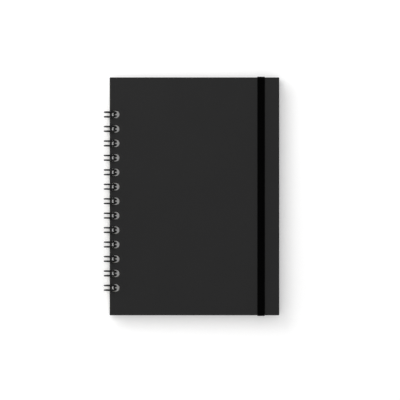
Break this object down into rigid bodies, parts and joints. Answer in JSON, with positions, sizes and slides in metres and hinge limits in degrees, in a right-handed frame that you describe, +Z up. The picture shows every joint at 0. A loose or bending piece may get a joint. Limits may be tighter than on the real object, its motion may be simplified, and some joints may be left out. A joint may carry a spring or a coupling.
{
  "type": "sketchbook",
  "caption": "Small hardcover sketchbook bound on its left side with twin-loop wire, with a front cover and sheets that turn on the wire and an elastic closure.",
  "frame": {"origin": "under the middle of the closed book, level with the lowest point of the wire loops that it lies on", "axes": "+X from the wire to the fore-edge, +Y from tail to head, +Z up out of the front cover"},
  "size_m": [0.1544, 0.2102, 0.0118],
  "materials": {
    "cover_cloth": "matte",
    "greyboard": "matte",
    "lining_paper": "matte",
    "drawing_paper": "matte",
    "coated_wire": "gloss",
    "elastic": "matte",
    "anchor_metal": "satin"
  },
  "bodies": {
    "back_cover": {"back_cover_wrap": "cover_cloth", "back_cover_board": "greyboard", "back_cover_lining": "lining_paper", "twin_loop_wire": "coated_wire", "elastic_band": "elastic", "elastic_anchor_head": "anchor_metal", "elastic_anchor_tail": "anchor_metal"},
    "front_cover": {"front_cover_wrap": "cover_cloth", "front_cover_board": "greyboard", "front_cover_lining": "lining_paper"},
    "sheet_01_leaf": {"sheet_01": "drawing_paper"},
    "sheet_02_leaf": {"sheet_02": "drawing_paper"},
    "sheet_03_leaf": {"sheet_03": "drawing_paper"},
    "sheet_04_leaf": {"sheet_04": "drawing_paper"},
    "sheet_05_leaf": {"sheet_05": "drawing_paper"},
    "sheet_06_leaf": {"sheet_06": "drawing_paper"},
    "sheet_07_leaf": {"sheet_07": "drawing_paper"},
    "sheet_08_leaf": {"sheet_08": "drawing_paper"},
    "sheet_09_leaf": {"sheet_09": "drawing_paper"},
    "sheet_10_leaf": {"sheet_10": "drawing_paper"},
    "sheet_11_leaf": {"sheet_11": "drawing_paper"},
    "sheet_12_leaf": {"sheet_12": "drawing_paper"},
    "sheet_13_leaf": {"sheet_13": "drawing_paper"},
    "sheet_14_leaf": {"sheet_14": "drawing_paper"},
    "sheet_15_leaf": {"sheet_15": "drawing_paper"},
    "sheet_16_leaf": {"sheet_16": "drawing_paper"},
    "sheet_17_leaf": {"sheet_17": "drawing_paper"},
    "sheet_18_leaf": {"sheet_18": "drawing_paper"},
    "sheet_19_leaf": {"sheet_19": "drawing_paper"},
    "sheet_20_leaf": {"sheet_20": "drawing_paper"}
  },
  "joints": [
    {"name": "front_cover_hinge", "type": "hinge", "parent": "back_cover", "child": "front_cover", "pos_m": [-0.07186, 0, 0.00665], "axis": [0, -1, 0], "range_deg": [0, 180], "deforming": ["elastic_band"]},
    {"name": "sheet_01_hinge", "type": "hinge", "parent": "back_cover", "child": "sheet_01_leaf", "pos_m": [-0.07186, 0, 0.00665], "axis": [0, -1, 0], "range_deg": [0, 180]},
    {"name": "sheet_02_hinge", "type": "hinge", "parent": "back_cover", "child": "sheet_02_leaf", "pos_m": [-0.07186, 0, 0.00665], "axis": [0, -1, 0], "range_deg": [0, 180]},
    {"name": "sheet_03_hinge", "type": "hinge", "parent": "back_cover", "child": "sheet_03_leaf", "pos_m": [-0.07186, 0, 0.00665], "axis": [0, -1, 0], "range_deg": [0, 180]},
    {"name": "sheet_04_hinge", "type": "hinge", "parent": "back_cover", "child": "sheet_04_leaf", "pos_m": [-0.07186, 0, 0.00665], "axis": [0, -1, 0], "range_deg": [0, 180]},
    {"name": "sheet_05_hinge", "type": "hinge", "parent": "back_cover", "child": "sheet_05_leaf", "pos_m": [-0.07186, 0, 0.00665], "axis": [0, -1, 0], "range_deg": [0, 180]},
    {"name": "sheet_06_hinge", "type": "hinge", "parent": "back_cover", "child": "sheet_06_leaf", "pos_m": [-0.07186, 0, 0.00665], "axis": [0, -1, 0], "range_deg": [0, 180]},
    {"name": "sheet_07_hinge", "type": "hinge", "parent": "back_cover", "child": "sheet_07_leaf", "pos_m": [-0.07186, 0, 0.00665], "axis": [0, -1, 0], "range_deg": [0, 180]},
    {"name": "sheet_08_hinge", "type": "hinge", "parent": "back_cover", "child": "sheet_08_leaf", "pos_m": [-0.07186, 0, 0.00665], "axis": [0, -1, 0], "range_deg": [0, 180]},
    {"name": "sheet_09_hinge", "type": "hinge", "parent": "back_cover", "child": "sheet_09_leaf", "pos_m": [-0.07186, 0, 0.00665], "axis": [0, -1, 0], "range_deg": [0, 180]},
    {"name": "sheet_10_hinge", "type": "hinge", "parent": "back_cover", "child": "sheet_10_leaf", "pos_m": [-0.07186, 0, 0.00665], "axis": [0, -1, 0], "range_deg": [0, 180]},
    {"name": "sheet_11_hinge", "type": "hinge", "parent": "back_cover", "child": "sheet_11_leaf", "pos_m": [-0.07186, 0, 0.00665], "axis": [0, -1, 0], "range_deg": [0, 180]},
    {"name": "sheet_12_hinge", "type": "hinge", "parent": "back_cover", "child": "sheet_12_leaf", "pos_m": [-0.07186, 0, 0.00665], "axis": [0, -1, 0], "range_deg": [0, 180]},
    {"name": "sheet_13_hinge", "type": "hinge", "parent": "back_cover", "child": "sheet_13_leaf", "pos_m": [-0.07186, 0, 0.00665], "axis": [0, -1, 0], "range_deg": [0, 180]},
    {"name": "sheet_14_hinge", "type": "hinge", "parent": "back_cover", "child": "sheet_14_leaf", "pos_m": [-0.07186, 0, 0.00665], "axis": [0, -1, 0], "range_deg": [0, 180]},
    {"name": "sheet_15_hinge", "type": "hinge", "parent": "back_cover", "child": "sheet_15_leaf", "pos_m": [-0.07186, 0, 0.00665], "axis": [0, -1, 0], "range_deg": [0, 180]},
    {"name": "sheet_16_hinge", "type": "hinge", "parent": "back_cover", "child": "sheet_16_leaf", "pos_m": [-0.07186, 0, 0.00665], "axis": [0, -1, 0], "range_deg": [0, 180]},
    {"name": "sheet_17_hinge", "type": "hinge", "parent": "back_cover", "child": "sheet_17_leaf", "pos_m": [-0.07186, 0, 0.00665], "axis": [0, -1, 0], "range_deg": [0, 180]},
    {"name": "sheet_18_hinge", "type": "hinge", "parent": "back_cover", "child": "sheet_18_leaf", "pos_m": [-0.07186, 0, 0.00665], "axis": [0, -1, 0], "range_deg": [0, 180]},
    {"name": "sheet_19_hinge", "type": "hinge", "parent": "back_cover", "child": "sheet_19_leaf", "pos_m": [-0.07186, 0, 0.00665], "axis": [0, -1, 0], "range_deg": [0, 180]},
    {"name": "sheet_20_hinge", "type": "hinge", "parent": "back_cover", "child": "sheet_20_leaf", "pos_m": [-0.07186, 0, 0.00665], "axis": [0, -1, 0], "range_deg": [0, 180]}
  ],
  "couplings": [
    {"joint": "sheet_01_hinge", "follows": "front_cover_hinge", "ratio": 0.95238},
    {"joint": "sheet_02_hinge", "follows": "front_cover_hinge", "ratio": 0.90476},
    {"joint": "sheet_03_hinge", "follows": "front_cover_hinge", "ratio": 0.85714},
    {"joint": "sheet_04_hinge", "follows": "front_cover_hinge", "ratio": 0.80952},
    {"joint": "sheet_05_hinge", "follows": "front_cover_hinge", "ratio": 0.7619},
    {"joint": "sheet_06_hinge", "follows": "front_cover_hinge", "ratio": 0.71429},
    {"joint": "sheet_07_hinge", "follows": "front_cover_hinge", "ratio": 0.66667},
    {"joint": "sheet_08_hinge", "follows": "front_cover_hinge", "ratio": 0.61905},
    {"joint": "sheet_09_hinge", "follows": "front_cover_hinge", "ratio": 0.57143},
    {"joint": "sheet_10_hinge", "follows": "front_cover_hinge", "ratio": 0.52381},
    {"joint": "sheet_11_hinge", "follows": "front_cover_hinge", "ratio": 0.47619},
    {"joint": "sheet_12_hinge", "follows": "front_cover_hinge", "ratio": 0.42857},
    {"joint": "sheet_13_hinge", "follows": "front_cover_hinge", "ratio": 0.38095},
    {"joint": "sheet_14_hinge", "follows": "front_cover_hinge", "ratio": 0.33333},
    {"joint": "sheet_15_hinge", "follows": "front_cover_hinge", "ratio": 0.28571},
    {"joint": "sheet_16_hinge", "follows": "front_cover_hinge", "ratio": 0.2381},
    {"joint": "sheet_17_hinge", "follows": "front_cover_hinge", "ratio": 0.19048},
    {"joint": "sheet_18_hinge", "follows": "front_cover_hinge", "ratio": 0.14286},
    {"joint": "sheet_19_hinge", "follows": "front_cover_hinge", "ratio": 0.09524},
    {"joint": "sheet_20_hinge", "follows": "front_cover_hinge", "ratio": 0.04762}
  ]
}
